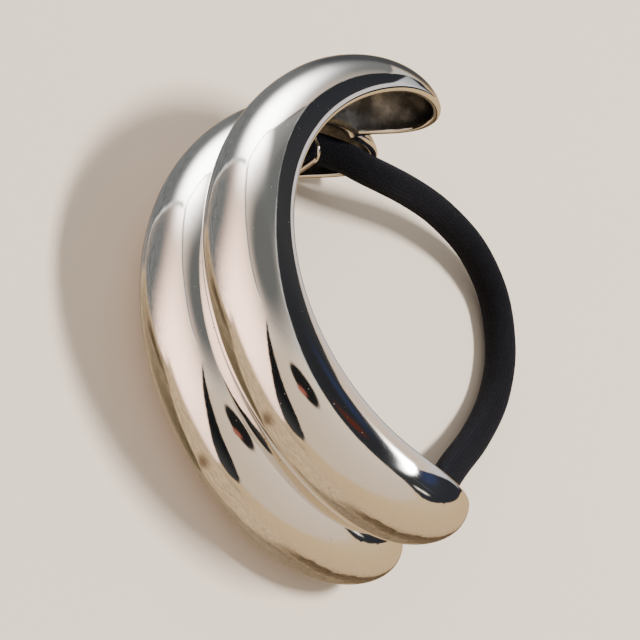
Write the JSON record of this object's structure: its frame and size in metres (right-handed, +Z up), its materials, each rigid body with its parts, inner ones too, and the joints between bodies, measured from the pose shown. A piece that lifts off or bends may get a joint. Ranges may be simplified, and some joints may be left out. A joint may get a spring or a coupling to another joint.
{
  "type": "ponytail cuff",
  "caption": "Domed double-band metal cuff on a knitted elastic, worn round a ponytail, with hollow backs and wire bails for the elastic.",
  "frame": {"origin": "bottom centre of the metal cuff's box, with the cuff lying on its side", "axes": "+Z up, along the cuff's axis; +Y the way the two arms reach and open; +X across the opening"},
  "size_m": [0.0654, 0.0616, 0.0268],
  "materials": {
    "polished_metal": "mirror-polished outside, dull as cast in the hollow backs",
    "knitted_elastic": "matte black fine knit"
  },
  "bodies": {
    "root": {"cuff": "polished_metal", "elastic": "knitted_elastic"}
  },
  "joints": []
}
